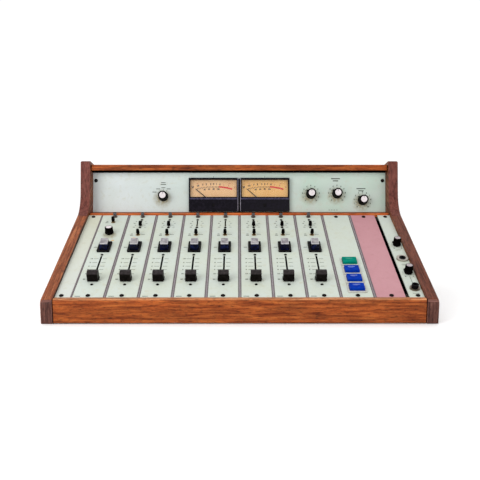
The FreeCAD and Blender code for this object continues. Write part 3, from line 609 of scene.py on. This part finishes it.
def paint_cheek(side):
    """A wooden side panel, the left one lighter and the right one darker as painted light and shade, with finishes
    of their own on its front end and upright, a painted highlight on its nose, and painted shade on the left inner
    face and painted light on the right one.
    """
    node = f"{side}_side_panel"
    # Each cheek gets its own walnut: painted light on the left cheek, painted shade on the right.
    paint(node, f"side_{side}")
    paint_faces(node, "side_end", ROW, lambda at, normal: normal.y < -0.75 and at.z < FRONT_END_TOP)
    # Painted highlight on the rounded nose.
    paint_faces(node, "nose", ROW,
                lambda at, normal: -0.9 < normal.y < -0.7 and NOSE_LOW < at.z < NOSE_HIGH)
    paint_faces(node, "upright", ROW, lambda at, normal: at.z > UPRIGHT_FOOT and normal.y < -0.4)
    # Painted shade on the left cheek's inner face, painted light on the right cheek's.
    paint_faces(node, f"inner_{side}", ROW, lambda at, normal: normal.x * at.x < INNER_FACE)


def paint_case():
    """The wood with a painted highlight on the front rail's top, painted shade under the top board, the steel tray
    and the circuit boards.
    """
    paint_cheek("left")
    paint_cheek("right")
    paint("front_rail", "rail")
    # Painted highlight on the front rail's upward faces.
    paint_faces("front_rail", "rail_edge", ROW, lambda at, normal: normal.z > 0.5)
    paint("top_board", "rail")
    # The top board's underside is painted black: painted shade under its overhang.
    paint_faces("top_board", "shade_black", ROW, lambda at, normal: normal.z < -0.5)
    paint("ledge_rail", "ledge")
    paint("chassis_tray", "steel")
    paint("circuit_boards", "board")


# The yellowed plate ends half a channel left of channel 1. The slots lie within a reach of the
# channels' middle lines, and the bar left of LEFT_BAR_EDGE is dark all over.
HALF_CHANNEL = 20.5
SLOT_LOW, SLOT_HIGH, SLOT_REACH = 40, 240, 1.6
LEFT_BAR_EDGE = -215


def from_channel(at):
    """How far a place lies from the nearest channel's middle line."""
    return min(abs(at.x - x) for x in CHANNEL_X.values())


def paint_plates():
    """The faceplates with painted shade on their slot walls, and the divider bars with painted shade on their
    sides and ridges and painted light in their grooves.
    """
    paint("module_faceplates", "mint")
    paint_faces("module_faceplates", "mint_left", PANEL,
                lambda at, normal: at.x < CHANNEL_X[1] - HALF_CHANNEL)
    # Painted shade: the slot walls are painted black.
    paint_faces("module_faceplates", "shade_black", PANEL,
                lambda at, normal: abs(normal.z) < 0.5 and SLOT_LOW < at.y < SLOT_HIGH
                and from_channel(at) < SLOT_REACH)
    paint("blank_faceplate", "pink")
    paint("meter_panel", "mint_panel")
    paint("divider_bars", "divider")
    # Painted shade on the bars' sides and ridges; the slim left bar is darker all over.
    paint_faces("divider_bars", "divider_dark", PANEL,
                lambda at, normal: at.x < LEFT_BAR_EDGE or at.z > 0.3 or abs(normal.x) > 0.5)


# How far up the panel the studs lie, their reach from a channel's middle, and their washers' tops.
STUD_LOW, STUD_HIGH, STUD_REACH, STUD_WASHER = 234, 246, 4.2, 0.65
# Sockets beyond this depth are on the back wall.
BACK_HALF = 100
JACK_RING, JACK_BORE, JACK_DEPTH = 12, 4.9, -20


def near_stud(at):
    """Whether a place belongs to the stud at the head of a channel."""
    return STUD_LOW < at.y < STUD_HIGH and from_channel(at) < STUD_REACH


def paint_fasteners():
    paint("panel_fasteners", "screw")
    paint_faces("panel_fasteners", "stud", PANEL, lambda at, normal: near_stud(at))
    paint_faces("panel_fasteners", "washer", PANEL, lambda at, normal: near_stud(at) and at.z < STUD_WASHER)


def paint_connectors():
    """Black sockets behind, dark hearts in both phone jacks, and a duller ring on the lower one."""
    paint("connectors", "cream")
    paint_faces("connectors", "black", ROW, lambda at, normal: at.y > BACK_HALF)
    jacks = {name: PANEL.inverted() @ place for name, place in MOUNTS.items() if name.endswith("_jack")}
    low = jacks["microphone_jack"]
    paint_faces("connectors", "bronze", PANEL,
                lambda at, normal: abs(at.y - low.y) < JACK_RING and at.z > 0)
    for jack in jacks.values():
        paint_faces("connectors", "black", PANEL,
                    lambda at, normal: (at - jack).xy.length < JACK_BORE and at.z > JACK_DEPTH)


BUTTON_REACH, BUTTONS_TOP = 14, 110
# Heights where a fader's worn crown starts, and where the metal feet of the levers end.
FADER_CROWN, TOGGLE_FOOT, SLIDE_FOOT = 11, 2.65, 1.5
BARE_LEVERS = (4, 5)


def paint_controls():
    """Knobs, keys, levers, buttons, needles and the bodies that hold them."""
    paint("vu_meter_cases", "case")
    paint("vu_lenses", "lens")
    paint("control_bodies", "black")
    buttons = middle("green_button", PANEL).x
    paint_faces("control_bodies", "frame", PANEL, lambda at, normal: 0.05 < at.z < 1.3
                and abs(at.x - buttons) < BUTTON_REACH and at.y < BUTTONS_TOP)
    for number in CHANNELS:
        paint(f"fader_knob_{number}", "fader")
        paint_faces(f"fader_knob_{number}", "fader_top", PANEL,
                    lambda at, normal: at.z > FADER_CROWN and normal.z > 0.55)
        paint(f"cue_key_{number}", "key")
        paint(f"toggle_lever_{number}", "gloss")
        paint_faces(f"toggle_lever_{number}", "nickel", PANEL, lambda at, normal: at.z < TOGGLE_FOOT)
    for number in list(CHANNELS)[1:]:
        paint(f"slide_lever_{number}", "nickel" if number in BARE_LEVERS else "gloss")
        paint_faces(f"slide_lever_{number}", "nickel", PANEL, lambda at, normal: at.z < SLIDE_FOOT)
    for node in NODES:
        if node.endswith("_knob") or node.startswith("level_knob"):
            paint(node, "gloss")
        if node.startswith("blue_button"):
            paint(node, "blue")
        if node.startswith("vu_needle"):
            paint(node, "needle")
    paint("green_button", "green")


def block_between(shape, low, high):
    """A slightly eased block between two corners."""
    centre = [(first + second) / 2 for first, second in zip(low, high)]
    size = [second - first for first, second in zip(low, high)]
    made = bmesh.ops.create_cube(shape, size=1, matrix=Matrix.Translation(centre)
                                 @ Matrix.Diagonal((*size, 1)))
    edges = list({edge for vertex in made["verts"] for edge in vertex.link_edges})
    bmesh.ops.bevel(shape, geom=edges, offset=0.1, segments=1, affect="EDGES")


def case_seams():
    """Black strips of painted shade in the narrow gaps between the ends of the rails and boards and the cheeks.

    A strip keeps clear of the wood on both sides, and lies just behind and just below its edges.
    """
    shape = bmesh.new()
    clear, behind, deep, below = 0.02, 0.25, 6, 0.8
    cheek = abs(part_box("left_side_panel")[1].x / MM)
    for node, tall in (("front_rail", 31.0), ("top_board", 9.4), ("ledge_rail", 10.0)):
        low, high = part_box(node)
        front, top = low.y / MM, high.z / MM
        for side in (-1, 1):
            first, second = sorted((side * cheek, side * high.x / MM))
            block_between(shape, (first + clear, front + behind, top - tall),
                          (second - clear, front + deep, top - below))
    piece("case_seams", shape, ROW, "shade_black", ROOT)


# -------------------- knobs
def knob_piece(node, on, radius, height, cap, cap_radius):
    """A fluted knob that stands for the plain one, with an inset cap and a pointer line."""
    at = joint_at(f"{node}_turn", on)
    body = bmesh.new()
    shaft, foot, skirt = 3, -8, 1.5
    wide, grip = 0.94 * radius, 0.9 * radius
    profile = [(0, foot), (shaft, foot), (shaft, skirt), (radius - 0.4, skirt), (radius, 1.9),
               (radius, 2.7), (radius - 0.2, 3.0), (wide + 0.05, 3.7), (wide, 4.6),
               (grip, height - 1.2), (grip - 0.3, height - 0.5), (grip - 0.8, height - 0.12),
               (0, height - 0.12)]
    lathe(body, at.x, at.y, profile, 96, flutes=24, depth=0.4, fluted=(4.5, height - 1))
    # A small nub on the skirt, left of the pointer.
    nub, reach = math.radians(48), radius + 0.3
    brick(body, at.x - reach * math.sin(nub), at.y + reach * math.cos(nub), 1.6, 2.0, 2.4, 3.2, 0.4, nub)
    made = piece(f"{node}_fluted", body, on, "gloss", node)
    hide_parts(node)
    top = bmesh.new()
    lathe(top, at.x, at.y, [(0, height - 0.9), (cap_radius, height - 0.9), (cap_radius, height - 0.3),
                            (cap_radius - 0.35, height - 0.02), (cap_radius * 0.6, height - 0.05),
                            (0, height - 0.08)], 48)
    piece(f"{node}_cap", top, on, cap, node)
    line = bmesh.new()
    brick(line, at.x, at.y + cap_radius * 0.72, height - 0.35, 0.7, cap_radius * 0.5, 0.33, 0.08)
    brick(line, at.x, at.y + (cap_radius + grip) / 2, height - 0.35, 0.7, grip - cap_radius - 0.9, 0.3, 0.06)
    piece(f"{node}_pointer", line, on, "print_dark", node)


def knobs():
    """Large knobs on the meter panel, a middling one on channel 1, small ones on the right strip."""
    for node in METER_KNOBS:
        knob_piece(node, METER, 8.4, 15.4, "white", 5.4)
    knob_piece("channel_1_knob", PANEL, 6.7, 11.8, "white", 4.8)
    for node in ("headphone_knob", "talkback_knob"):
        knob_piece(node, PANEL, 6.1, 13.4, "silver", 4.4)


# -------------------- switches and keys
def toggle_bushes():
    """Brassy bushes and their worn washers round the toggles."""
    bushes, washers = bmesh.new(), bmesh.new()
    for number in CHANNELS:
        at = joint_at(f"toggle_{number}_tilt", PANEL)
        lathe(bushes, at.x, at.y, [(2.65, 0.3), (3.1, 0.3), (3.1, 0.62), (2.9, 0.8), (2.05, 0.86),
                                   (2.05, 0.74), (2.65, 0.74)], 28)
        lathe(washers, at.x, at.y, [(2.68, 0.02), (3.6, 0.02), (3.6, 0.22), (3.45, 0.32), (2.68, 0.32)], 36)
    piece("toggle_bushes", bushes, PANEL, "nickel", ROOT)
    piece("toggle_washers", washers, PANEL, "pale_brass", ROOT)


def key_tops():
    """The pale clear cap over each lever key's top, with a whiter rim round its upper face.

    The key's top climbs by a small rise over its run, and the cap sits above the pivot.
    """
    rise, run, above, past = 1.8, 13.3, 15.9, 0.25
    slope = math.atan2(rise, run)
    layers = (("rim", 11.3, 14.2, -2.6, 2.95, 0.35), ("top", 9.9, 12.4, 0.1, 0.4, 0.12))
    for number in CHANNELS:
        pivot = joint_at(f"cue_key_{number}_tilt", PANEL)
        seat = Matrix.Translation(pivot + Vector((0, past, above)))
        tilt = seat @ Matrix.Rotation(slope, 4, "X")
        for part, wide, long, low, tall, soft in layers:
            shape = bmesh.new()
            brick(shape, 0, 0, low, wide, long, tall, soft)
            bmesh.ops.transform(shape, matrix=tilt, verts=shape.verts)
            piece(f"cue_key_{part}_{number}", shape, PANEL, f"key_{part}", f"cue_key_{number}")


def push_buttons():
    """Pale frames round the buttons, and labels of two smudged dashes on their caps."""
    frames = bmesh.new()
    outside, inside, tall, soft = (25.2, 21.4), (20.6, 15.2), 1.5, 0.35
    for node in ("blue_button_1", "blue_button_2", "blue_button_3", "green_button"):
        at = middle(node, PANEL)
        frame_ring(frames, at.x, at.y, outside, inside, 0.0, tall, soft)
        label = bmesh.new()
        for across, along, wide, long in ((-0.6, 2.6, 9.6, 1.3), (-1.6, 0.8, 5.4, 0.8)):
            brick(label, at.x + across, at.y + along, BUTTON_TOP - 0.05, wide, long, 0.1, 0.03)
        hue = node.split("_")[0]
        piece(f"{node}_label", label, PANEL, f"{hue}_label", node)
    piece("button_frames", frames, PANEL, "frame", ROOT)


# -------------------- printing on the plates
def dash(shape, x, y, wide, long, turn=0.0):
    """A printed dash lying on a plate."""
    brick(shape, x, y, SUNK, wide, long, INK, 0, turn)


def round_dial(at, radius, count, start, end):
    """Places spread along an arc, with angles in radians clockwise from straight up."""
    for step in range(count):
        angle = math.radians(start + (end - start) * step / (count - 1))
        yield at.x + radius * math.sin(angle), at.y + radius * math.cos(angle), angle


def dial_marks(shape, at, radius, wide, long, start=-135, end=135, count=11):
    """A ring of short radial marks round a knob."""
    for x, y, angle in round_dial(at, radius, count, start, end):
        dash(shape, x, y, wide, long, -angle)


# How far up the panel each level line of a fader lies, and its number.
FADER_MARKS = ((104.2, "10"), (93.2, "5"), (82.8, "0"), (73.4, "5"), (62.0, "10"), (47.5, "20"))


def fader_print(shape, number):
    """The pale level lines and numbers on both sides of a fader's slot."""
    x = CHANNEL_X[number]
    for y, text in FADER_MARKS:
        dash(shape, x - 6.5, y, 7.0, 1.0)
        dash(shape, x + 6.0, y, 6.0, 1.0)
        print_number(shape, text, x - 13.0, y, 0.02, 3.6)


def channel_print(shape, number):
    """The worn legends beside one channel's fader, key, toggle and slide lever."""
    x = CHANNEL_X[number]
    dash(shape, x - 13.6, 138.6, 5.2, 1.5)
    dash(shape, x - 13.8, 4.6, 7.5, 1.4)
    toggle_y = joint_at(f"toggle_{number}_tilt", PANEL).y
    for offset, wide in ((2.6, 3.0), (-1.6, 4.6)):
        dash(shape, x - 10.0, toggle_y + offset, wide, 1.8)
    foot, pitch = 204, 6.6
    if number == 1:
        dash(shape, x - 9.4, foot, 3.0, 1.8)
        return
    for step, (left, wide) in enumerate(((9.5, 3.4), (8.0, 2.2), (10.2, 3.0), (8.2, 2.0))):
        dash(shape, x - left, foot + pitch * step, wide, 1.7)
        dash(shape, x + left - 1.5, foot + pitch * step, wide, 1.0)
    dash(shape, x + 7.5, 179.5, 6.0, 1.2)


# The orange mark beside each lever key: how far across, how far up the panel, and how wide. The
# first two channels have their own.
CUE_MARK = (-6.5, 155.5, 2.4)
CUE_MARKS = {1: (8.4, 160.0, 4.2), 2: (-5.0, 168.0, 4.6)}


def strip_print():
    """All the printing on the sloping plates: channels, dials, and the narrow strip at the right."""
    pale, dark, orange = bmesh.new(), bmesh.new(), bmesh.new()
    for number in CHANNELS:
        fader_print(pale, number)
        channel_print(dark, number)
        across, y, wide = CUE_MARKS.get(number, CUE_MARK)
        dash(orange, CHANNEL_X[number] + across, y, wide, 2.0)
    dial_marks(dark, joint_at("channel_1_knob_turn", PANEL), 9.4, 0.45, 2.0)
    for node in ("headphone_knob", "talkback_knob"):
        at = joint_at(f"{node}_turn", PANEL)
        dial_marks(dark, at, 8.0, 0.45, 1.2)
        for side in (-1, 1):
            dash(dark, at.x + side * 5.4, at.y - 8.6, 1.8, 2.0)
    dash(dark, STRIP_X + 0.3, 43.5, 0.7, 24)
    for y, wide in ((130.0, 7), (88.5, 8), (86.0, 6), (11.6, 9)):
        dash(dark, STRIP_X - 0.5, y, wide, 0.9)
    piece("fader_scales", pale, PANEL, "print_pale", ROOT)
    piece("strip_legends", dark, PANEL, "print", ROOT)
    piece("cue_marks", orange, PANEL, "print_orange", ROOT)


# The legend above a level knob: how far across and up from the knob, how wide and how thick.
LEGENDS = {"level_knob_2": (-2.4, 25.2, 15.0, 1.8), "level_knob_3": (-2.4, 19.6, 15.0, 1.6)}


def level_print(shape, node):
    """Eleven marks and numbers round a level knob, and the two-line legend above it."""
    at = joint_at(f"{node}_turn", METER)
    start, end = -140, 140
    dial_marks(shape, at, 10.6, 0.6, 2.0, start, end)
    for step, (x, y, _) in enumerate(round_dial(at, 14.0, 11, start, end)):
        print_number(shape, str(step), x, y, 0.02, 3.2)
    if node in LEGENDS:
        left, lift, wide, thick = LEGENDS[node]
        dash(shape, at.x + left, at.y + lift, wide, thick)
        dash(shape, at.x + left, at.y + lift - 3.6, wide * 0.6, thick)


def selector_print(shape):
    """Four marks with a legend dash each round the selector knob, and two dashes above it."""
    at = joint_at("selector_knob_turn", METER)
    start, end = -60, 30
    dial_marks(shape, at, 11.0, 0.6, 3.2, start, end, 4)
    for _, y, angle in round_dial(at, 14.6, 4, start, end):
        dash(shape, at.x + 17.5 * math.sin(angle), y, 6.5, 1.2)
    for lift, wide in ((23.0, 7.5), (20.0, 9.0)):
        dash(shape, at.x, at.y + lift, wide, 1.3)


def meter_print():
    """The printing round the meter panel's knobs, below the middle one and above both meters."""
    shape = bmesh.new()
    for node in METER_KNOBS[1:]:
        level_print(shape, node)
    selector_print(shape)
    for step in range(4):
        dash(shape, joint_at("level_knob_2_turn", METER).x - 13 + 4.2 * step, 3.6, 2.2, 1.0)
    for side in ("left", "right"):
        dash(shape, joint_at(f"vu_{side}_swing", METER).x, 59.0, 0.8, 2.2)
    piece("meter_panel_legends", shape, METER, "print", ROOT)


# -------------------- level meters
CARD_FACE = 1.0
SCALE_RADIUS, SCALE_TOP = 115.0, 42.7
RED_START, RED_END = 8.8, 31.2
# The needle's blade: its middle's distance from the pivot, its length, its height above the panel,
# and how far left of straight up it rests.
BLADE_REACH, BLADE_LENGTH, BLADE_HEIGHT = 21.5, 34.5, 3.22
REST_ANGLE = math.radians(50)
# How far across from the dial's middle each number lies, and the number.
UPPER_SCALE = ((-33.7, "20"), (-25.3, "10"), (-17.4, "7"), (-11.7, "5"), (-4.6, "3"), (0.0, "2"),
               (4.6, "1"), (10.2, "0"))
RUST_SCALE = ((16.2, "1"), (24.0, "2"), (33.8, "3"))
LOWER_SCALE = ((-15.6, "40"), (-7.8, "60"), (0.0, "80"), (7.8, "100"))


def on_arc(x, across, lift):
    """A point above a dial's shallow scale arc, or below it, and the way the arc leans there."""
    turn = math.asin(across / SCALE_RADIUS)
    reach = SCALE_RADIUS + lift
    return x + reach * math.sin(turn), SCALE_TOP - SCALE_RADIUS + reach * math.cos(turn), turn


def arc_numbers(shape, x, marks, lift, size):
    """Numbers along the scale arc, each turned with it."""
    for across, text in marks:
        px, py, turn = on_arc(x, across, lift)
        print_number(shape, text, px, py, CARD_FACE + 0.04, size, -turn)


def meter_dial(side):
    """The amber card with its two printed scales, and the needle's flat blade over it."""
    pivot = joint_at(f"vu_{side}_swing", METER)
    x = pivot.x
    card = bmesh.new()
    brick(card, x, 29.0, 0.82, 78.6, 50.8, 0.18)
    piece(f"vu_{side}_card", card, METER, f"card_{side}", ROOT)
    black, red, rust = bmesh.new(), bmesh.new(), bmesh.new()
    start, end = (math.degrees(math.asin(across / SCALE_RADIUS)) for across in (RED_START, RED_END))
    half = 1.4
    band(red, x, SCALE_TOP - SCALE_RADIUS, SCALE_RADIUS - half, SCALE_RADIUS + half, start, end,
         CARD_FACE, CARD_FACE + INK)
    arc_numbers(black, x, UPPER_SCALE, 4.2, 4.0)
    arc_numbers(rust, x, RUST_SCALE, 4.2, 3.8)
    for across in (-25.3, 24.7):
        px, py, _ = on_arc(x, across, 7.4)
        brick(rust, px, py + 0.6, CARD_FACE, 3.4, 1.0, INK)
    for step in range(15):
        px, py, turn = on_arc(x, -27 + 2.5 * step, -0.6)
        brick(black, px, py, CARD_FACE, 0.9, 3.2 if step % 2 else 2.2, INK, 0, -3.0 * turn)
    arc_numbers(black, x, LOWER_SCALE, -4.2, 3.4)
    blade = bmesh.new()
    brick(blade, x - BLADE_REACH * math.sin(REST_ANGLE), pivot.y + BLADE_REACH * math.cos(REST_ANGLE),
          BLADE_HEIGHT, 1.3, BLADE_LENGTH, 0.25, 0.08, REST_ANGLE)
    piece(f"vu_needle_{side}_blade", blade, METER, "needle", f"vu_needle_{side}")
    piece(f"vu_{side}_scale", black, METER, "print_dark", ROOT)
    piece(f"vu_{side}_red_scale", red, METER, "print_red", ROOT)
    piece(f"vu_{side}_rust_scale", rust, METER, "print_rust", ROOT)


def meter_trim():
    """The meter cases' window rims, lines below them, zero screws, painted highlights on their inner edges, and a
    black strip of painted shade between them.
    """
    windows, screws, edges, lines, gap_shade = (bmesh.new() for _ in range(5))
    for side, inward in (("left", 1), ("right", -1)):
        x = joint_at(f"vu_{side}_swing", METER).x
        frame_ring(windows, x, 38.8, (79.4, 30.8), (76.9, 28.6), 6.8, 7.6, 0.25)
        brick(lines, x, 21.6, 6.85, 80.0, 2.6, 0.4, 0.15)
        lathe(screws, x, 11.0, [(0, 6.9), (2.6, 6.9), (2.6, 7.5), (2.2, 7.8), (0, 7.8)], 28)
        # A pale strip on each case's inner edge: a painted highlight.
        brick(edges, x + inward * 40.6, 28.5, 6.7, 0.8, 55.0, 0.45, 0.15)
    # A black strip between the two meters: painted shade in the gap.
    block_between(gap_shade, (-1.7, 0.8, 0.02), (1.1, 56.2, 3.0))
    piece("vu_gap_shade", gap_shade, METER, "shade_black", ROOT)
    piece("vu_window_rims", windows, METER, "case", ROOT)
    piece("vu_lower_rims", lines, METER, "case_rim", ROOT)
    piece("vu_zero_screws", screws, METER, "black", ROOT)
    piece("vu_edge_highlights", edges, METER, "case_edge", ROOT)


# -------------------- back of the case
def socket_pins():
    """Two rows of square pins in each of the four rear sockets."""
    pins = bmesh.new()
    columns, pitch = 16, 3.2
    for number in range(1, 5):
        x, y, z = MOUNTS[f"rear_socket_{number}"] / MM
        for column in range(columns):
            for row in (-pitch / 2, pitch / 2):
                place = (x - 24 + pitch * column, y - 1.8, z + row)
                bmesh.ops.create_cube(pins, size=1, matrix=Matrix.Translation(place)
                                      @ Matrix.Diagonal((0.9, 2.6, 0.9, 1)))
    piece("rear_socket_pins", pins, ROW, "nickel", ROOT)


def back_louvres():
    """Four columns of tilted cooling louvres on the back wall."""
    louvres = bmesh.new()
    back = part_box("chassis_tray")[1].y / MM
    foot, pitch, tilt = 112, 9, -0.35
    for column in (-150, -50, 50, 150):
        for row in range(6):
            before = len(louvres.verts)
            brick(louvres, 0, 0, 0, 62, 2.6, 3.4, 0.9)
            louvres.verts.ensure_lookup_table()
            place = Matrix.Translation((column, back + 0.3, foot + pitch * row))
            bmesh.ops.transform(louvres, matrix=place @ Matrix.Rotation(tilt, 4, "X"),
                                verts=louvres.verts[before:])
    piece("back_louvres", louvres, ROW, "steel", ROOT)


# -------------------- stage
WHITE = (1, 1, 1, 1)
# Each lamp's name, its place in metres, its size in metres and its power in watts.
LAMPS = (("key", (-1.0, -1.25, 0.65), 0.9, 13), ("fill", (0.6, -1.9, 0.4), 1.2, 9),
         ("top", (-0.3, -0.1, 1.9), 1.4, 4))
LAMP_AIM = Vector((0, 0, 0.08))


def stage():
    """A white floor and soft studio light."""
    bpy.ops.mesh.primitive_plane_add(size=14, location=(0, 0, -0.5 * MM))
    floor = bpy.context.object
    floor.name = "studio_floor"
    white = Finish("studio_white", 0.35, Specular_IOR_Level=0.25)
    white.colour(white.ramp(white.noise(900, detail=1), (0.3, rgb(252, 252, 252, 1)), (0.7, WHITE)))
    floor.data.materials.append(white.material)
    world = bpy.data.worlds.new("studio_world")
    bpy.context.scene.world = world
    world.use_nodes = True
    backdrop = world.node_tree.nodes["Background"].inputs
    backdrop["Color"].default_value = WHITE
    backdrop["Strength"].default_value = 1.05
    for name, place, size, power in LAMPS:
        data = bpy.data.lights.new(f"studio_{name}", "AREA")
        data.size = size
        data.energy = power
        lamp = bpy.data.objects.new(f"studio_{name}", data)
        lamp.location = place
        aim = LAMP_AIM - Vector(place)
        lamp.rotation_euler = aim.to_track_quat("-Z", "Y").to_euler()
        bpy.context.scene.collection.objects.link(lamp)
    bpy.context.scene.view_settings.view_transform = "Standard"


def camera():
    """The camera at the photograph's viewing angle: places in metres, angles in degrees."""
    front = CAD_BOX[0][1]
    aside, distance, height, down, yaw = -0.0028, 0.8525, 0.1858, 9.4, 0.198
    data = bpy.data.cameras.new("camera")
    data.lens = 50
    data.sensor_width = 36
    data.shift_y = 0.104
    seen = bpy.data.objects.new("camera", data)
    seen.location = (aside, front - distance, height)
    seen.rotation_euler = (math.radians(90 - down), 0, math.radians(-yaw))
    bpy.context.scene.collection.objects.link(seen)
    bpy.context.scene.camera = seen


paint_case()
paint_plates()
paint_fasteners()
paint_connectors()
paint_controls()
case_seams()
knobs()
toggle_bushes()
key_tops()
push_buttons()
strip_print()
meter_print()
meter_dial("left")
meter_dial("right")
meter_trim()
socket_pins()
back_louvres()
stage()
camera()
